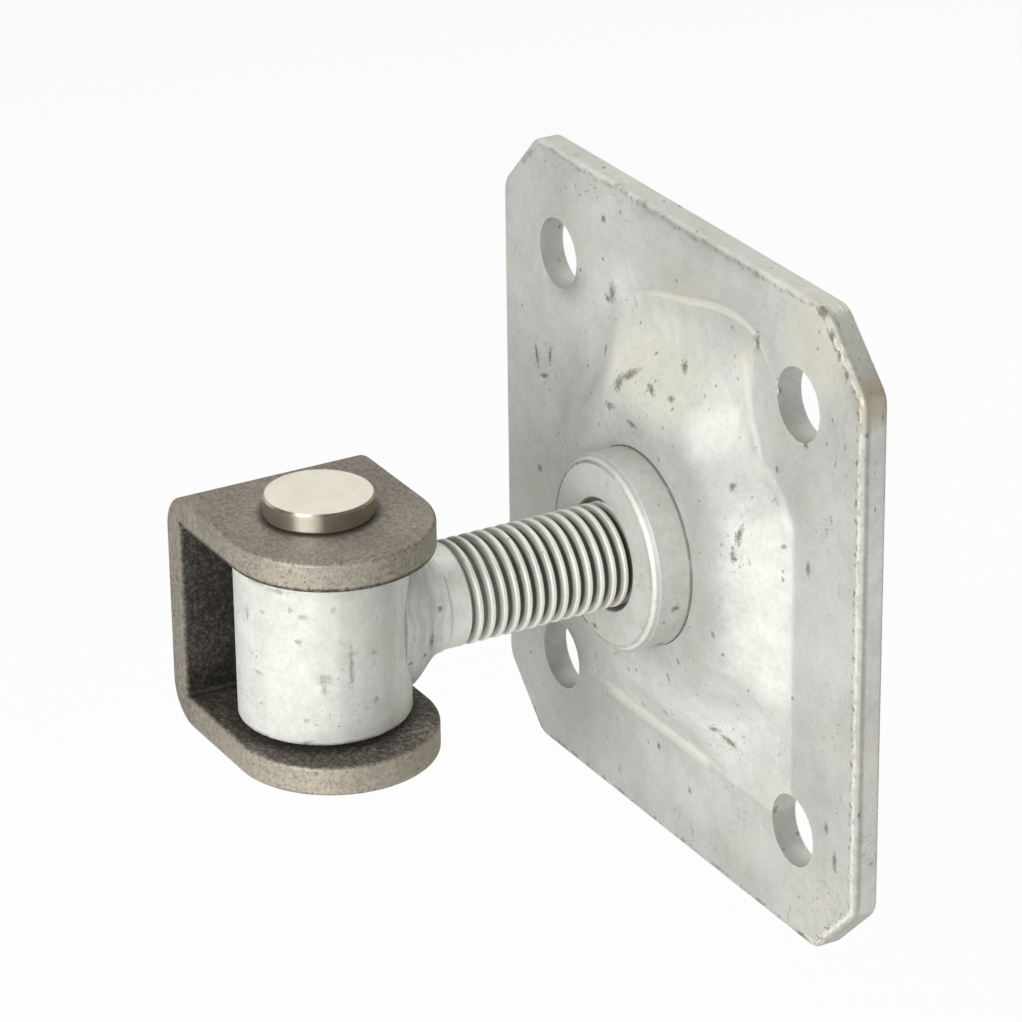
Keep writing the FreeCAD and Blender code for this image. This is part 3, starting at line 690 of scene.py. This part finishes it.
def smooth_line(corners, steps):
    """Points of a smooth line through the corners."""
    padded = [corners[0], *corners, corners[-1]]
    points = []
    for first, second, third, fourth in zip(padded, padded[1:], padded[2:], padded[3:]):
        for step in range(steps):
            t = step / steps
            points.append(Vector([
                0.5 * (2 * b + (c - a) * t + (2 * a - 5 * b + 4 * c - d) * t ** 2
                       + (3 * b - a - 3 * c + d) * t ** 3)
                for a, b, c, d in zip(first, second, third, fourth)]))
    return points + [Vector(corners[-1])]


def pressed_ridge(name, corners, half_width, height, material):
    """A low rounded ridge on the plate's front that fades out at both its ends."""
    line = smooth_line(corners, 8)
    across = 12
    vertices = []
    for index, point in enumerate(line):
        ahead = line[min(index + 1, len(line) - 1)] - line[max(index - 1, 0)]
        side = Vector((-ahead.y, ahead.x)).normalized()
        share = index / (len(line) - 1)
        swell = math.sin(math.pi * share) ** 0.5
        for step in range(across + 1):
            u = 2 * step / across - 1
            spot = point + side * (half_width * u)
            proud = height * swell * (1 + math.cos(math.pi * u)) / 2
            vertices.append((spot.x * MM, (PLATE_FRONT_Y + 0.02 - proud) * MM, spot.y * MM))
        for u in (1, -1):
            spot = point + side * (half_width * u)
            vertices.append((spot.x * MM, (PLATE_FRONT_Y + 0.4) * MM, spot.y * MM))
    ring = across + 3
    faces = []
    for row in range(len(line) - 1):
        for step in range(ring):
            one, two = row * ring + step, row * ring + (step + 1) % ring
            faces.append((one, one + ring, two + ring, two))
    faces.append(tuple(range(ring)))
    faces.append(tuple(reversed(range((len(line) - 1) * ring, len(line) * ring))))
    mesh = bpy.data.meshes.new(name)
    mesh.from_pydata(vertices, [], faces)
    mesh.materials.append(material)
    for face in mesh.polygons:
        face.use_smooth = True
    made = bpy.data.objects.new(name, mesh)
    bpy.context.scene.collection.objects.link(made)
    return made


# Materials on the pieces

plate_zinc = plate_finish("plate_zinc", True)
ridge_zinc = plate_finish("ridge_zinc", False)
collar_zinc = collar_finish()
pin_steel = turned_steel("pin_steel")

FINISHES = {
    "mounting_plate": plate_zinc,
    "threaded_collar": collar_zinc,
    "collar_weld": collar_zinc,
    "eye_barrel": barrel_finish(),
    "rod_weld": weld_finish(),
    "u_bracket": bare_steel("bracket_steel"),
    "hinge_pin": pin_steel,
    "retaining_ring": pin_steel,
}
for node_name, material in FINISHES.items():
    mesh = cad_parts[node_name].data
    mesh.materials.clear()
    mesh.materials.append(material)

rod = thread_rule(rod_finish()).piece("threaded_rod_screw")
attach(rod, "eye")
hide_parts("threaded_rod")

ridge = pressed_ridge("pressed_ridge", RIDGE_LINE, 1.5, 0.27, ridge_zinc)
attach(ridge, "plate")


# Floor, light and camera

def floor_material():
    ground = bpy.data.materials.new("pale_floor")
    ground.use_nodes = True
    tree = Tree(ground.node_tree.nodes, ground.node_tree.links)
    tree.nodes.clear()
    dull = tree.node("ShaderNodeBsdfDiffuse", {}, {"Color": (0.9, 0.9, 0.9, 1)})
    bright = tree.node("ShaderNodeEmission", {}, {"Color": (1, 1, 1, 1), "Strength": 1.0})
    path = tree.nodes.new("ShaderNodeLightPath")
    seen = Wire(tree, path.outputs["Is Camera Ray"]) * 0.93
    shown = tree.node("ShaderNodeMixShader", {}, {0: seen, 1: dull, 2: bright})
    tree.node("ShaderNodeOutputMaterial", {}, {"Surface": shown})
    return ground


FLOOR_DROP = 60 * MM
floor_mesh = bpy.data.meshes.new("floor")
reach = 6.0
level = cad_low.z - FLOOR_DROP
floor_mesh.from_pydata([(-reach, -reach, level), (reach, -reach, level),
                        (reach, reach, level), (-reach, reach, level)], [], [(0, 1, 2, 3)])
floor_mesh.materials.append(floor_material())
floor = bpy.data.objects.new("floor", floor_mesh)
bpy.context.scene.collection.objects.link(floor)


LAMP_REACH = 0.6
LAMP_SIZE = 0.34
OBJECT_MIDDLE = Vector((0, -30 * MM, 0))


def direction(azimuth, elevation):
    """The way to a place round the object: azimuth 0 is in front of the plate, 90 to its right."""
    turn, lift = math.radians(azimuth), math.radians(elevation)
    return Vector((math.sin(turn) * math.cos(lift), -math.cos(turn) * math.cos(lift),
                   math.sin(lift)))


def add_lamp(name, azimuth, elevation, power):
    data = bpy.data.lights.new(name, "AREA")
    data.shape = "DISK"
    data.size = LAMP_SIZE
    data.energy = power
    lamp = bpy.data.objects.new(name, data)
    way = direction(azimuth, elevation)
    lamp.location = OBJECT_MIDDLE + way * LAMP_REACH
    lamp.rotation_euler = way.to_track_quat("Z", "Y").to_euler()
    bpy.context.scene.collection.objects.link(lamp)


add_lamp("front_lamp", 20, 12, 1.85)
add_lamp("right_lamp", 40, 12, 1.95)
add_lamp("high_lamp", 20, 45, 1.0)
add_lamp("left_lamp", -50, 15, 0.35)
add_lamp("side_lamp", 100, 15, 0.35)
add_lamp("back_lamp", 241, 58, 0.75)
add_lamp("top_lamp", 180, 72, 0.75)
add_lamp("rear_lamp", 195, 8, 1.2)


def studio_world():
    """White where the camera looks, white behind the object for reflections, dim elsewhere."""
    world = bpy.data.worlds.new("studio")
    world.use_nodes = True
    sky = Tree(world.node_tree.nodes, world.node_tree.links)
    sky.nodes.clear()
    rays = sky.nodes.new("ShaderNodeLightPath").outputs
    camera_ray, glossy_ray, passing_ray = [
        Wire(sky, rays[name])
        for name in ("Is Camera Ray", "Is Glossy Ray", "Is Transmission Ray")]
    way = sky.node("ShaderNodeTexCoord", output="Generated")
    behind = sky.node("ShaderNodeVectorMath", {"operation": "DOT_PRODUCT"},
                      {0: way, 1: direction(241, 20)}, "Value")
    backdrop = behind.rise(0.3, 0.9) * 0.85
    seen = camera_ray + passing_ray + glossy_ray * backdrop
    strength = (seen + 0.03).least(1.0)
    shown = sky.node("ShaderNodeBackground", {},
                     {"Color": (1, 1, 1, 1), "Strength": strength})
    sky.node("ShaderNodeOutputWorld", {}, {"Surface": shown})
    bpy.context.scene.world = world


studio_world()


def add_camera(yaw, pitch, roll, distance, target, focal_px, frame_px):
    """A camera on a ray from its target, turned about that ray by its roll."""
    back = Vector((math.sin(yaw) * math.cos(pitch), -math.cos(yaw) * math.cos(pitch),
                   math.sin(pitch)))
    level_right = Vector((math.cos(yaw), math.sin(yaw), 0))
    level_up = back.cross(level_right)
    right = math.cos(roll) * level_right + math.sin(roll) * level_up
    up = back.cross(right)
    data = bpy.data.cameras.new("camera")
    data.sensor_width = 36
    data.lens = 36 * focal_px / frame_px
    data.clip_start = 0.05
    data.clip_end = 50
    camera = bpy.data.objects.new("camera", data)
    turned = Matrix((right, up, back)).transposed()
    camera.matrix_world = Matrix.Translation(target + back * distance) @ turned.to_4x4()
    bpy.context.scene.collection.objects.link(camera)
    bpy.context.scene.camera = camera


add_camera(1.06431, 0.428428, -0.013286, 750.598747 * MM,
           Vector((-49.085118 * MM, -4 * MM, -15.110761 * MM)), 4789.237, 1022)

bpy.context.scene.view_settings.view_transform = "Standard"
